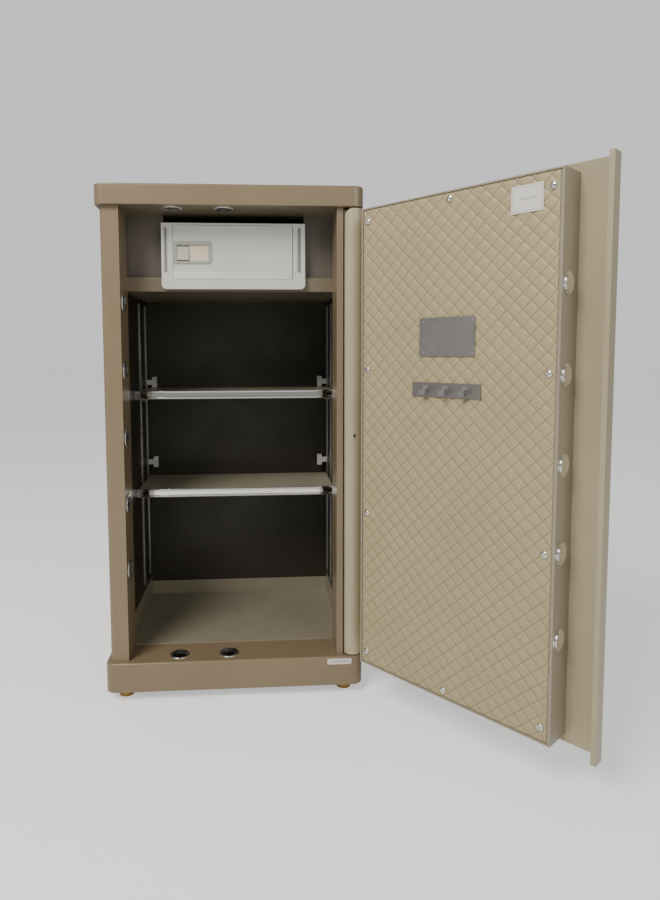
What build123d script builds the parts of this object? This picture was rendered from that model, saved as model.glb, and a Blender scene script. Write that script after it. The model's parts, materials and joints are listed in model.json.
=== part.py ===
from build123d import *
import os
from math import cos, radians, sin

# Upright steel office safe with one swing door, standing with the door open.
# Millimetres. X runs right across the front, Y runs into the cabinet, Z is up.
# The origin is on the floor under the middle of the cabinet's footprint.

# Cabinet
WIDTH = 508.0
DEPTH = 400.0
HEIGHT = 1000.0
FOOT_HEIGHT = 20.0
PLINTH_HEIGHT = 59.0
CAP_HEIGHT = 39.0
CORNER = 19.0  # plan radius of the top cap and the plinth
SHEET = 2.5
SILL_Z = FOOT_HEIGHT + PLINTH_HEIGHT
HEAD_Z = HEIGHT - CAP_HEIGHT
OPENING_HEIGHT = HEAD_Z - SILL_Z
FRONT_Y = -DEPTH / 2
JAMB_LEFT = -209.0
JAMB_RIGHT = 202.5
COLUMN_FRONT = FRONT_Y + 10.5
JAMB_BACK = FRONT_Y + 82.0
COLUMN_LEFT = -245.0
COLUMN_RIGHT = 247.5
COLUMN_WALL = 3.5
SHELL_X = 250.0
SHELL_FRONT = FRONT_Y + 43.0
SHELL_BACK = DEPTH / 2 - 4.0
SHELL_SHEET = 2.0
WALL_X = 221.0  # inner face of the side walls
WALL_BACK = FRONT_Y + 366.0
WALL_SHEET = 1.5

# Door, in its own axes: u from the hinge to the free edge, w out through the face
DOOR_OPEN = 129.7  # degrees from shut
PIVOT_X = 235.5
PIVOT_Y = FRONT_Y + 18.5
BEAD_R = 18.0  # hinge roll, concentric with the pivot
PLATE = 7.5
PLATE_IN = BEAD_R - PLATE
FREE_U = 489.0  # outer face of the free edge
BEND_R = 18.5
LIP_DEPTH = 29.3  # how far the free edge is folded in past the plate
DOOR_Z0 = 82.0
DOOR_Z1 = 958.5
MID_Z = 519.5
PAN_U0 = 58.0
PAN_U1 = 431.2
PAN_Z0 = 95.0
PAN_Z1 = 944.0
PAN_FACE = PLATE_IN - 52.5
PAN_WALL = 2.0
LINER_U0 = 61.5
LINER_U1 = 425.5
LINER_Z0 = 98.0
LINER_Z1 = 941.0
LINER_T = 2.6
BACKING_T = 1.2
LINER_BACK = PAN_FACE + LINER_T

# Bolt work
BOLT_R = 13.5
BOLT_PROUD = 4.0  # how far a drawn-back bolt stands out of the pan
SIDE_BOLT_Z = [MID_Z + 132.0 * step for step in (-2, -1, 0, 1, 2)]
SIDE_BOLT_W = PAN_FACE + 18.0
END_BOLT_U = [248.8, 347.8]
END_BOLT_W = -14.5
BAR_T = 5.0
HANDLE_U = 298.0
HANDLE_Z = MID_Z
CRANK_R = 21.0
CRANK_SWING = 35.0  # degrees each side of the middle of the throw
CRANK_PIN_R = 4.0
SLOT_CLEARANCE = 0.6
SOCKET_R = 15.0
SOCKET_SLEEVE_R = 16.2
RING_R = 19.5
RING_T = 1.6

# Inside of the cabinet
SHELF_TOPS = {"lower_shelf": 383.5, "upper_shelf": 601.0}
SHELF_HALF = 217.8
TRIM_HALF = 220.3
SHELF_FRONT = FRONT_Y + 182.0
SHELF_BACK = WALL_BACK - 5.0
SHELF_T = 17.0
PARTITION_Z0 = 808.3
PARTITION_Z1 = 836.0
PARTITION_FRONT = JAMB_BACK + 0.5
BULKHEAD_Y = PARTITION_FRONT + 13.0

# Small locker behind the silver front
LOCKER_X0 = -139.5
LOCKER_X1 = 146.0
LOCKER_Z0 = 812.0
LOCKER_Z1 = 942.0
LOCKER_FRONT = JAMB_BACK - 9.0
LEAF_X0 = -116.3
LEAF_X1 = 121.3
LEAF_Z0 = 832.3
LEAF_Z1 = 937.3
LEAF_T = 8.0
LEAF_FRONT = LOCKER_FRONT - 0.5
LEAF_GAP = 0.7
LEAF_PIVOT = (118.6, LEAF_FRONT + 2.8)
LEAF_PIN_R = 0.9
LEAF_PIN_REACH = 4.0

os.makedirs("parts", exist_ok=True)

open_angle = radians(DOOR_OPEN)
along_door = Vector(-cos(open_angle), -sin(open_angle), 0)
out_of_door = Vector(sin(open_angle), -cos(open_angle), 0)
door_plan = Plane(origin=(PIVOT_X, PIVOT_Y, 0), x_dir=along_door, z_dir=(0, 0, 1))


def save(part, name):
    """Label one finished piece and write it to its own file."""
    part.label = name
    export_step(part, f"parts/{name}.step")


def door_point(u, w, z):
    """A point given in the door's axes."""
    return door_plan.from_local_coords(Vector(u, w, z))


def inward(w):
    """Plane across the door at depth w, facing into the room side; sketches are (u, z)."""
    return Plane(origin=door_point(0, w, 0), x_dir=along_door, z_dir=-out_of_door)


def free_side(u):
    """Plane across the door's thickness at u, facing the free edge; sketches are (w, z)."""
    return Plane(origin=door_point(u, 0, 0), x_dir=out_of_door, z_dir=along_door)


def front_plane(y):
    """Plane facing the front of the cabinet at depth y; sketches are (x, z)."""
    return Plane.XZ.offset(-y)


def span(low_x, high_x, low_y, high_y, mode=Mode.ADD):
    """Rectangle between two pairs of coordinates."""
    with Locations(((low_x + high_x) / 2, (low_y + high_y) / 2)):
        Rectangle(high_x - low_x, high_y - low_y, mode=mode)


def rounded_span(low_x, high_x, low_y, high_y, radius, mode=Mode.ADD):
    """Rectangle with round corners between two pairs of coordinates."""
    with Locations(((low_x + high_x) / 2, (low_y + high_y) / 2)):
        RectangleRounded(high_x - low_x, high_y - low_y, radius, mode=mode)


# ---------------------------------------------------------------- cabinet body

end_bolt_x = [PIVOT_X - u for u in END_BOLT_U]
end_bolt_y = PIVOT_Y - END_BOLT_W
side_bolt_y = PIVOT_Y - SIDE_BOLT_W
HINGE_PIN_R = 6.0
socket_cut_r = SOCKET_SLEEVE_R + 0.1

with BuildPart() as top_cap:
    with BuildSketch(Plane.XY.offset(HEAD_Z)):
        RectangleRounded(WIDTH, DEPTH, CORNER)
    extrude(amount=CAP_HEIGHT)
    fillet(top_cap.faces().sort_by(Axis.Z)[-1].edges(), 3.5)
    fillet(top_cap.faces().sort_by(Axis.Z)[0].edges(), 2.0)
    with BuildSketch(Plane.XY.offset(HEAD_Z)):
        RectangleRounded(WIDTH - 2 * SHEET, DEPTH - 2 * SHEET, CORNER - SHEET)
    extrude(amount=CAP_HEIGHT - SHEET, mode=Mode.SUBTRACT)
save(top_cap.part, "top_cap")

with BuildPart() as ceiling_plate:
    with BuildSketch(Plane.XY.offset(HEAD_Z)):
        RectangleRounded(WIDTH - 2 * SHEET, DEPTH - 2 * SHEET, CORNER - SHEET)
        with Locations(*[(x, end_bolt_y) for x in end_bolt_x]):
            Circle(socket_cut_r, mode=Mode.SUBTRACT)
        with Locations((PIVOT_X, PIVOT_Y)):
            Circle(HINGE_PIN_R, mode=Mode.SUBTRACT)
    extrude(amount=3.0)
save(ceiling_plate.part, "ceiling_plate")

with BuildPart() as base_plinth:
    with BuildSketch(Plane.XY.offset(FOOT_HEIGHT)):
        RectangleRounded(WIDTH, DEPTH, CORNER)
    extrude(amount=PLINTH_HEIGHT)
    fillet(base_plinth.faces().sort_by(Axis.Z)[-1].edges(), 3.5)
    fillet(base_plinth.faces().sort_by(Axis.Z)[0].edges(), 2.0)
    with BuildSketch(Plane.XY.offset(FOOT_HEIGHT)):
        RectangleRounded(WIDTH - 2 * SHEET, DEPTH - 2 * SHEET, CORNER - SHEET)
    extrude(amount=PLINTH_HEIGHT - SHEET, mode=Mode.SUBTRACT)
    with BuildSketch(Plane.XY.offset(SILL_Z)):
        with Locations(*[(x, end_bolt_y) for x in end_bolt_x]):
            Circle(socket_cut_r)
        with Locations((PIVOT_X, PIVOT_Y)):
            Circle(HINGE_PIN_R)
    extrude(amount=-SHEET, mode=Mode.SUBTRACT)
save(base_plinth.part, "base_plinth")

with BuildPart() as bottom_plate:
    with BuildSketch(Plane.XY.offset(FOOT_HEIGHT)):
        RectangleRounded(WIDTH - 2 * SHEET, DEPTH - 2 * SHEET, CORNER - SHEET)
    extrude(amount=3.0)
save(bottom_plate.part, "bottom_plate")

# Cast fire-resisting fill: one block in the cap, one in the plinth, one round the walls.
with BuildPart() as fire_fill:
    with BuildSketch(Plane.XY.offset(HEAD_Z + 3.5)):
        span(-244, 244, JAMB_BACK + 6, 190)
    extrude(amount=CAP_HEIGHT - 3.5 - SHEET - 1)
    with BuildSketch(Plane.XY.offset(FOOT_HEIGHT + 3.5)):
        span(-244, 244, JAMB_BACK + 6, 190)
    extrude(amount=PLINTH_HEIGHT - 3.5 - SHEET - 1)
    with BuildSketch(Plane.XY.offset(SILL_Z + 1)):
        rounded_span(
            -SHELL_X + SHELL_SHEET + 0.5, SHELL_X - SHELL_SHEET - 0.5,
            JAMB_BACK + 0.5, SHELL_BACK - SHELL_SHEET - 0.5, 4,
        )
        span(-WALL_X - 2, WALL_X + 2, JAMB_BACK, WALL_BACK + 2, mode=Mode.SUBTRACT)
    extrude(amount=OPENING_HEIGHT - 2)
save(fire_fill.part, "fire_fill")

with BuildPart() as outer_shell:
    with BuildSketch(Plane.XY.offset(SILL_Z)):
        rounded_span(-SHELL_X, SHELL_X, SHELL_FRONT - 20, SHELL_BACK, 6)
        rounded_span(
            -SHELL_X + SHELL_SHEET, SHELL_X - SHELL_SHEET,
            SHELL_FRONT - 30, SHELL_BACK - SHELL_SHEET, 4, mode=Mode.SUBTRACT,
        )
        span(-SHELL_X, SHELL_X, SHELL_FRONT - 30, SHELL_FRONT, mode=Mode.SUBTRACT)
        span(-SHELL_X, COLUMN_LEFT - 0.2, SHELL_FRONT, SHELL_FRONT + SHELL_SHEET)
    extrude(amount=OPENING_HEIGHT)
save(outer_shell.part, "outer_shell")

with BuildPart() as inner_shell:
    with BuildSketch(Plane.XY.offset(SILL_Z)):
        span(-WALL_X - WALL_SHEET, WALL_X + WALL_SHEET, JAMB_BACK + 0.2, WALL_BACK + WALL_SHEET)
        span(-WALL_X, WALL_X, JAMB_BACK - 1, WALL_BACK, mode=Mode.SUBTRACT)
    extrude(amount=OPENING_HEIGHT)
save(inner_shell.part, "inner_shell")

with BuildPart() as left_column:
    with BuildSketch(Plane.XY.offset(SILL_Z)):
        span(COLUMN_LEFT, JAMB_LEFT, COLUMN_FRONT, JAMB_BACK)
        outer_corner = vertices().group_by(Axis.X)[0].sort_by(Axis.Y)[0]
        fillet(outer_corner, 10)
        span(
            COLUMN_LEFT + COLUMN_WALL, JAMB_LEFT - COLUMN_WALL,
            COLUMN_FRONT + COLUMN_WALL, JAMB_BACK - COLUMN_WALL, mode=Mode.SUBTRACT,
        )
    extrude(amount=OPENING_HEIGHT)
    with BuildSketch(Plane.YZ.offset(JAMB_LEFT)):
        with Locations(*[(side_bolt_y, z) for z in SIDE_BOLT_Z]):
            Circle(socket_cut_r)
    extrude(amount=-COLUMN_WALL, mode=Mode.SUBTRACT)
save(left_column.part, "left_column")

HINGE_RECESS_R = BEAD_R + 2.5
with BuildPart() as right_column:
    with BuildSketch(Plane.XY.offset(SILL_Z)):
        span(JAMB_RIGHT, COLUMN_RIGHT, COLUMN_FRONT, JAMB_BACK)
        with Locations((PIVOT_X, PIVOT_Y)):
            Circle(HINGE_RECESS_R, mode=Mode.SUBTRACT)
        span(PIVOT_X - HINGE_RECESS_R, COLUMN_RIGHT, COLUMN_FRONT, PIVOT_Y, mode=Mode.SUBTRACT)
        span(
            JAMB_RIGHT + COLUMN_WALL, COLUMN_RIGHT - COLUMN_WALL,
            PIVOT_Y + HINGE_RECESS_R + COLUMN_WALL, JAMB_BACK - COLUMN_WALL, mode=Mode.SUBTRACT,
        )
    extrude(amount=OPENING_HEIGHT)
save(right_column.part, "right_column")


socket_planes = [Plane(origin=(JAMB_LEFT, side_bolt_y, z), z_dir=(1, 0, 0)) for z in SIDE_BOLT_Z]
socket_planes += [Plane(origin=(x, end_bolt_y, HEAD_Z), z_dir=(0, 0, -1)) for x in end_bolt_x]
socket_planes += [Plane(origin=(x, end_bolt_y, SILL_Z), z_dir=(0, 0, 1)) for x in end_bolt_x]
SLEEVE_L = 6.0
with BuildPart() as socket_rings:
    for face in socket_planes:
        with BuildSketch(face):
            Circle(RING_R)
        extrude(amount=RING_T)
        rim = edges(Select.LAST).sort_by(Axis(face.origin, face.z_dir))[-1]
        fillet(rim, 1.0)
        with BuildSketch(face):
            Circle(SOCKET_SLEEVE_R)
        extrude(amount=-SLEEVE_L)
        with BuildSketch(face.offset(RING_T)):
            Circle(SOCKET_R)
        extrude(amount=-RING_T - SLEEVE_L, mode=Mode.SUBTRACT)
save(socket_rings.part, "socket_rings")

FOOT_X = 220.0
FOOT_Y = 162.0
foot_points = [(x, y) for x in (-FOOT_X, FOOT_X) for y in (-FOOT_Y, FOOT_Y)]
foot_points += [(0, 0)]  # the middle one keeps the base plate from sagging
with BuildPart() as feet:
    with Locations(*[(x, y, 0) for x, y in foot_points]):
        Cone(14.5, 18, FOOT_HEIGHT - 3, align=(Align.CENTER, Align.CENTER, Align.MIN))
    with Locations(*[(x, y, FOOT_HEIGHT - 3) for x, y in foot_points]):
        Cylinder(18, 3, align=(Align.CENTER, Align.CENTER, Align.MIN))
save(feet.part, "feet")

with BuildPart() as serial_label:
    with BuildSketch(front_plane(FRONT_Y)):
        rounded_span(183, 231, SILL_Z - 15.5, SILL_Z - 4.0, 1)
    extrude(amount=0.3)
save(serial_label.part, "serial_label")

# ---------------------------------------------------------------- hinge fixed parts

with BuildPart() as hinge_pins:
    with BuildSketch(Plane.XY.offset(SILL_Z - 12)):
        with Locations((PIVOT_X, PIVOT_Y)):
            Circle(HINGE_PIN_R)
    extrude(amount=12 + 20)
    with BuildSketch(Plane.XY.offset(HEAD_Z - 20)):
        with Locations((PIVOT_X, PIVOT_Y)):
            Circle(HINGE_PIN_R)
    extrude(amount=20 + 14)
save(hinge_pins.part, "hinge_pins")

WASHER_T = 2.2
with BuildPart() as pivot_washers:
    for low in (SILL_Z, HEAD_Z - WASHER_T):
        with BuildSketch(Plane.XY.offset(low)):
            with Locations((PIVOT_X, PIVOT_Y)):
                Circle(10)
                Circle(HINGE_PIN_R, mode=Mode.SUBTRACT)
        extrude(amount=WASHER_T)
save(pivot_washers.part, "pivot_washers")

# ---------------------------------------------------------------- shelving

with BuildPart() as floor_pan:
    with BuildSketch(Plane.XY.offset(SILL_Z)):
        span(-WALL_X + 0.3, WALL_X - 0.3, JAMB_BACK + 0.3, WALL_BACK - 0.3)
    extrude(amount=1.5)
    with BuildSketch(Plane.XY.offset(SILL_Z)):
        for x0, x1 in ((-WALL_X + 0.3, -WALL_X + 1.5), (WALL_X - 1.5, WALL_X - 0.3)):
            span(x0, x1, JAMB_BACK + 0.3, WALL_BACK - 0.3)
    extrude(amount=47)
    with BuildSketch(Plane.XY.offset(SILL_Z)):
        span(-WALL_X + 0.3, WALL_X - 0.3, WALL_BACK - 1.5, WALL_BACK - 0.3)
    extrude(amount=34)
save(floor_pan.part, "floor_pan")

RAIL_T = 2.5
RAIL_W = 14.0
RAIL_Z0 = SILL_Z + 60
RAIL_Z1 = PARTITION_Z0 - 10
REAR_RAIL_Y = FRONT_Y + 345.0
FRONT_RAIL_Y = FRONT_Y + 268.0
SLOT_PITCH = 24.0
slot_count = int((RAIL_Z1 - RAIL_Z0 - 20) / SLOT_PITCH)
with BuildPart() as shelf_rails:
    for side in (-1, 1):
        for rail_y in (FRONT_RAIL_Y, REAR_RAIL_Y):
            with BuildSketch(Plane.YZ.offset(side * WALL_X)):
                span(rail_y - RAIL_W / 2, rail_y + RAIL_W / 2, RAIL_Z0, RAIL_Z1)
                with Locations((rail_y, (RAIL_Z0 + RAIL_Z1) / 2)):
                    with GridLocations(1, SLOT_PITCH, 1, slot_count):
                        Rectangle(4, 12, mode=Mode.SUBTRACT)
            extrude(amount=-side * RAIL_T)
save(shelf_rails.part, "shelf_rails")

rail_face = WALL_X - RAIL_T

# Pegs carry each shelf from below; T-headed clips keep its back corners from lifting.
PEG_H = 8.0
CLIP_LOWS = (407.0, 601.5)
with BuildPart() as shelf_pegs:
    for top in SHELF_TOPS.values():
        for side in (-1, 1):
            for rail_y in (FRONT_RAIL_Y, REAR_RAIL_Y):
                low_x, high_x = sorted((side * rail_face, side * (rail_face - 14)))
                with BuildSketch(Plane.XY.offset(top - SHELF_T - PEG_H)):
                    span(low_x, high_x, rail_y - 5, rail_y + 5)
                extrude(amount=PEG_H)
save(shelf_pegs.part, "shelf_pegs")

with BuildPart() as shelf_clips:
    for low in CLIP_LOWS:
        for side in (-1, 1):
            with BuildSketch(front_plane(REAR_RAIL_Y + 5)):
                arm = sorted((side * rail_face, side * (rail_face - 13)))
                head = sorted((side * (rail_face - 12), side * (rail_face - 23)))
                span(*arm, low + 7, low + 19)
                span(*head, low, low + 26)
            extrude(amount=10)
save(shelf_clips.part, "shelf_clips")

for shelf_name, top in SHELF_TOPS.items():
    with BuildPart() as shelf:
        with BuildSketch(Plane.XY.offset(top - SHELF_T)):
            span(-SHELF_HALF, SHELF_HALF, SHELF_FRONT + 3, SHELF_BACK)
        extrude(amount=SHELF_T)
        with BuildSketch(Plane.XY.offset(top - SHELF_T)):
            span(-SHELF_HALF + 1.5, SHELF_HALF - 1.5, SHELF_FRONT + 4.5, SHELF_BACK - 1.5)
        extrude(amount=SHELF_T - 1.5, mode=Mode.SUBTRACT)
        with BuildSketch(Plane.XY.offset(top - SHELF_T)):
            for side in (-1, 1):
                for rail_y in (FRONT_RAIL_Y, REAR_RAIL_Y):
                    pad = sorted((side * (SHELF_HALF - 1), side * (SHELF_HALF - 14)))
                    span(*pad, rail_y - 8, rail_y + 8)
        extrude(amount=1.2)
    save(shelf.part, shelf_name)

    # Polished edge strip: two round beads with a flat band between them.
    with BuildPart() as shelf_trim:
        with BuildSketch(Plane.YZ.offset(-TRIM_HALF)):
            span(SHELF_FRONT + 1, SHELF_FRONT + 3, top - 16, top + 2)
            for bead_z in (top - 0.4, top - 13.6):
                with Locations((SHELF_FRONT + 2.2, bead_z)):
                    Circle(2.6)
            span(SHELF_FRONT + 3, SHELF_FRONT + 8, top - 20, top + 6, mode=Mode.SUBTRACT)
        extrude(amount=2 * TRIM_HALF)
    save(shelf_trim.part, shelf_name + "_trim")

with BuildPart() as partition:
    with BuildSketch(Plane.YZ.offset(-WALL_X + 0.5)):
        span(PARTITION_FRONT, WALL_BACK - 0.5, PARTITION_Z0, PARTITION_Z1)
        span(PARTITION_FRONT + 1.5, WALL_BACK, PARTITION_Z0 + 1.5, PARTITION_Z1 - 1.5, mode=Mode.SUBTRACT)
    extrude(amount=2 * WALL_X - 1)
save(partition.part, "partition")

with BuildPart() as side_bulkheads:
    with BuildSketch(front_plane(BULKHEAD_Y)):
        span(-WALL_X + 0.5, LOCKER_X0 + 1.5, PARTITION_Z1, HEAD_Z)
        span(LOCKER_X1 - 1, WALL_X - 0.5, PARTITION_Z1, HEAD_Z)
    extrude(amount=-1.5)
save(side_bulkheads.part, "side_bulkheads")

# ---------------------------------------------------------------- inner locker

LATCH_Z = 853.0
LATCH_Y = LEAF_FRONT + 4.6
LATCH_SLOT = (4.0, 9.4)
LATCH_BOLT = (3.2, 8.6)
SILL_PROUD = 3.0  # how far the rounded sill under the leaf stands out
SILL_TOP = LEAF_Z0 - LEAF_GAP
SILL_CORNER = 10.0
CHANNELS = ((-134.5, -127.6), (130.5, 138.5))
STRIKE_LIP = 1.0  # metal left in front of the strike notch
STRIKE_REACH = 9.6
STRIKE_HEIGHT = 14.0
CHANNEL_Z = (LEAF_Z0 + 13, LEAF_Z1 - 3)
CHANNEL_DEPTH = 1.4
with BuildPart() as locker_bezel:
    with BuildSketch(Plane.YZ.offset(LOCKER_X0)):
        span(LOCKER_FRONT, JAMB_BACK, LOCKER_Z0, LOCKER_Z1)
        span(LOCKER_FRONT - SILL_PROUD, JAMB_BACK, LOCKER_Z0, SILL_TOP)
        nose = vertices().group_by(Axis.Y)[0].sort_by(Axis.Z)
        fillet(nose[0], 8)
        fillet(nose[-1], 2)
    extrude(amount=LOCKER_X1 - LOCKER_X0)
    with BuildSketch(front_plane(JAMB_BACK)):
        for corner_x, turn in ((LOCKER_X0, 1), (LOCKER_X1, -1)):
            span(*sorted((corner_x, corner_x + turn * SILL_CORNER)), LOCKER_Z0, LOCKER_Z0 + SILL_CORNER)
        for corner_x, turn in ((LOCKER_X0, 1), (LOCKER_X1, -1)):
            with Locations((corner_x + turn * SILL_CORNER, LOCKER_Z0 + SILL_CORNER)):
                Circle(SILL_CORNER, mode=Mode.SUBTRACT)
    extrude(amount=JAMB_BACK - LOCKER_FRONT + SILL_PROUD, mode=Mode.SUBTRACT)
    with BuildSketch(front_plane(JAMB_BACK)):
        span(LEAF_X0 - LEAF_GAP, LEAF_X1 + LEAF_GAP, LEAF_Z0 - LEAF_GAP, LEAF_Z1 + LEAF_GAP)
    extrude(amount=JAMB_BACK - LOCKER_FRONT, mode=Mode.SUBTRACT)
    with BuildSketch(front_plane(LOCKER_FRONT)):
        for channel in CHANNELS:
            span(*channel, *CHANNEL_Z)
    extrude(amount=-CHANNEL_DEPTH, mode=Mode.SUBTRACT)
    # Strike notch for the latch, open at the back of the frame.
    with BuildSketch(Plane.YZ.offset(LEAF_X0 - LEAF_GAP)):
        half = STRIKE_HEIGHT / 2
        span(LOCKER_FRONT + STRIKE_LIP, JAMB_BACK, LATCH_Z - half, LATCH_Z + half)
    extrude(amount=-STRIKE_REACH, mode=Mode.SUBTRACT)
    for low in (LEAF_Z0 - LEAF_PIN_REACH, LEAF_Z1):
        with BuildSketch(Plane.XY.offset(low)):
            with Locations(LEAF_PIVOT):
                Circle(LEAF_PIN_R)
        extrude(amount=LEAF_PIN_REACH, mode=Mode.SUBTRACT)
save(locker_bezel.part, "locker_bezel")

with BuildPart() as locker_side_strips:
    with BuildSketch(front_plane(LOCKER_FRONT + CHANNEL_DEPTH)):
        for low_x, high_x in CHANNELS:
            span(low_x + 1, high_x - 1, CHANNEL_Z[0] + 1, CHANNEL_Z[1] - 1)
    extrude(amount=0.8)
save(locker_side_strips.part, "locker_side_strips")

with BuildPart() as locker_housing:
    with BuildSketch(front_plane(JAMB_BACK)):
        span(-121, 126, PARTITION_Z1 + 0.2, LOCKER_Z1)
    extrude(amount=-158)
    with BuildSketch(front_plane(JAMB_BACK)):
        span(-119.5, 124.5, PARTITION_Z1 + 1.7, LOCKER_Z1 - 1.5)
    extrude(amount=-156.5, mode=Mode.SUBTRACT)
save(locker_housing.part, "locker_housing")

with BuildPart() as locker_hinge_pins:
    for low in (LEAF_Z0 - LEAF_PIN_REACH, LEAF_Z1 - LEAF_PIN_REACH):
        with BuildSketch(Plane.XY.offset(low)):
            with Locations(LEAF_PIVOT):
                Circle(LEAF_PIN_R)
        extrude(amount=2 * LEAF_PIN_REACH)
save(locker_hinge_pins.part, "locker_hinge_pins")

KICK_OUT = 1.8
KICK_HEIGHT = 14.0
KICK_SHORT = 10.0  # keeps the kick clear of the frame as the leaf swings
FRAME_X0 = LEAF_X0 + 0.2
FRAME_X1 = -40.5
FRAME_Z0 = 862.5
FRAME_Z1 = 905.5
WINDOW_X0 = -108.8
WINDOW_X1 = -46.0
WINDOW_Z0 = 866.5
WINDOW_Z1 = 898.5
SLIDER_TRAVEL = 5.0
with BuildPart() as locker_leaf:
    with BuildSketch(front_plane(LEAF_FRONT)):
        span(LEAF_X0, LEAF_X1, LEAF_Z0, LEAF_Z1)
    extrude(amount=-LEAF_T)
    hinge_edge = edges().filter_by(Axis.Z).group_by(Axis.X)[-1].sort_by(Axis.Y)[0]
    fillet(hinge_edge, 2.5)
    # The foot of the leaf is kicked forward to meet the sill's bulge.
    with BuildSketch(Plane.YZ.offset(LEAF_X0)):
        with BuildLine():
            Polyline(
                (LEAF_FRONT + 1, LEAF_Z0), (LEAF_FRONT - KICK_OUT, LEAF_Z0),
                (LEAF_FRONT, LEAF_Z0 + KICK_HEIGHT), (LEAF_FRONT + 1, LEAF_Z0 + KICK_HEIGHT), close=True,
            )
        make_face()
    extrude(amount=LEAF_X1 - LEAF_X0 - KICK_SHORT)
    with BuildSketch(front_plane(LEAF_FRONT)):
        span(WINDOW_X0, WINDOW_X1 + SLIDER_TRAVEL, WINDOW_Z0, WINDOW_Z1)
    extrude(amount=-2.5, mode=Mode.SUBTRACT)
    with BuildSketch(front_plane(LEAF_FRONT)):
        span(WINDOW_X0, -84.6, WINDOW_Z0, WINDOW_Z1)
    extrude(amount=-6, mode=Mode.SUBTRACT)
    with BuildSketch(Plane.YZ.offset(LEAF_X0)):
        with Locations((LATCH_Y, LATCH_Z)):
            Rectangle(*LATCH_SLOT)
    extrude(amount=22, mode=Mode.SUBTRACT)
    for low in (LEAF_Z0, LEAF_Z1 - LEAF_PIN_REACH - 0.2):
        with BuildSketch(Plane.XY.offset(low)):
            with Locations(LEAF_PIVOT):
                Circle(LEAF_PIN_R + 0.05)
        extrude(amount=LEAF_PIN_REACH + 0.2, mode=Mode.SUBTRACT)
save(locker_leaf.part, "locker_leaf")

with BuildPart() as locker_latch_frame:
    with BuildSketch(front_plane(LEAF_FRONT)):
        span(FRAME_X0, FRAME_X1, FRAME_Z0, FRAME_Z1)
        fillet(vertices().group_by(Axis.X)[-1], 5)
        span(WINDOW_X0, WINDOW_X1, WINDOW_Z0, WINDOW_Z1, mode=Mode.SUBTRACT)
    extrude(amount=2.5)
save(locker_latch_frame.part, "locker_latch_frame")

with BuildPart() as locker_button:
    with BuildSketch(front_plane(LEAF_FRONT + 3)):
        rounded_span(-108.2, -85.4, 869.5, 895, 1.5)
    extrude(amount=5.0)
save(locker_button.part, "locker_button")

with BuildPart() as locker_slider:
    with BuildSketch(front_plane(LEAF_FRONT + 2.3)):
        rounded_span(-84.0, -46.4, 867.0, 898.0, 1)
    extrude(amount=2.1)
save(locker_slider.part, "locker_slider")

with BuildPart() as locker_latch_bolt:
    with BuildSketch(Plane.YZ.offset(LEAF_X0 + 0.3)):
        with Locations((LATCH_Y, LATCH_Z)):
            Rectangle(*LATCH_BOLT)
    extrude(amount=20)
save(locker_latch_bolt.part, "locker_latch_bolt")

# ---------------------------------------------------------------- door leaf

KEY_U = 235.0
KEY_Z = HANDLE_Z + 45.0
SPINDLE_R = 6.0
CYLINDER_R = 9.0
RUNNING_FIT = 0.06
with BuildPart() as door_plate:
    with BuildSketch(door_plan.offset(DOOR_Z0)):
        with BuildLine():
            roll_out = CenterArc((0, 0), BEAD_R, 90, 135)
            roll_in = CenterArc((0, 0), PLATE_IN, 90, 135)
            Line(roll_out @ 1, roll_in @ 1)
            bend = (FREE_U - BEND_R, BEAD_R - BEND_R)
            bend_out = CenterArc(bend, BEND_R, 0, 90)
            bend_in = CenterArc(bend, BEND_R - PLATE, 0, 90)
            Line(roll_out @ 0, bend_out @ 1)
            Line(roll_in @ 0, bend_in @ 1)
            tip_w = PLATE_IN - LIP_DEPTH
            outer_tip = Line(bend_out @ 0, (FREE_U, tip_w))
            inner_tip = Line(bend_in @ 0, (FREE_U - PLATE, tip_w))
            Line(outer_tip @ 1, inner_tip @ 1)
        make_face()
    extrude(amount=DOOR_Z1 - DOOR_Z0)
    with BuildSketch(inward(BEAD_R)):
        with Locations((HANDLE_U, HANDLE_Z)):
            Circle(SPINDLE_R + RUNNING_FIT)
        with Locations((KEY_U, KEY_Z)):
            Circle(CYLINDER_R + RUNNING_FIT)
    extrude(amount=PLATE, mode=Mode.SUBTRACT)
save(door_plate.part, "door_plate")

COVER_T = 2.0
COVER_START = 230.0
COVER_SWEEP = 165.0
COVER_CORNER = 15.0
COVER_SCREW_X = PIVOT_X - 1.0
COVER_SCREW_Z = 523.0
COVER_SCREW_R = 2.5
cover_start_x = PIVOT_X - BEAD_R
with BuildPart() as hinge_cover:
    with BuildSketch(door_plan.offset(DOOR_Z0)):
        with BuildLine():
            cover_out = CenterArc((0, 0), BEAD_R, COVER_START, COVER_SWEEP)
            cover_in = CenterArc((0, 0), BEAD_R - COVER_T, COVER_START, COVER_SWEEP)
            Line(cover_out @ 0, cover_in @ 0)
            Line(cover_out @ 1, cover_in @ 1)
        make_face()
    extrude(amount=DOOR_Z1 - DOOR_Z0)
    # The upper corner beside the jamb is cut round.
    with BuildSketch(front_plane(PIVOT_Y)):
        span(cover_start_x - 1, cover_start_x + COVER_CORNER, DOOR_Z1 - COVER_CORNER, DOOR_Z1 + 1)
        with Locations((cover_start_x + COVER_CORNER, DOOR_Z1 - COVER_CORNER)):
            Circle(COVER_CORNER, mode=Mode.SUBTRACT)
    extrude(amount=BEAD_R + 1, mode=Mode.SUBTRACT)
    with BuildSketch(front_plane(PIVOT_Y)):
        with Locations((COVER_SCREW_X, COVER_SCREW_Z)):
            Circle(COVER_SCREW_R)
    extrude(amount=BEAD_R + 1, mode=Mode.SUBTRACT)
save(hinge_cover.part, "hinge_cover")

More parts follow.
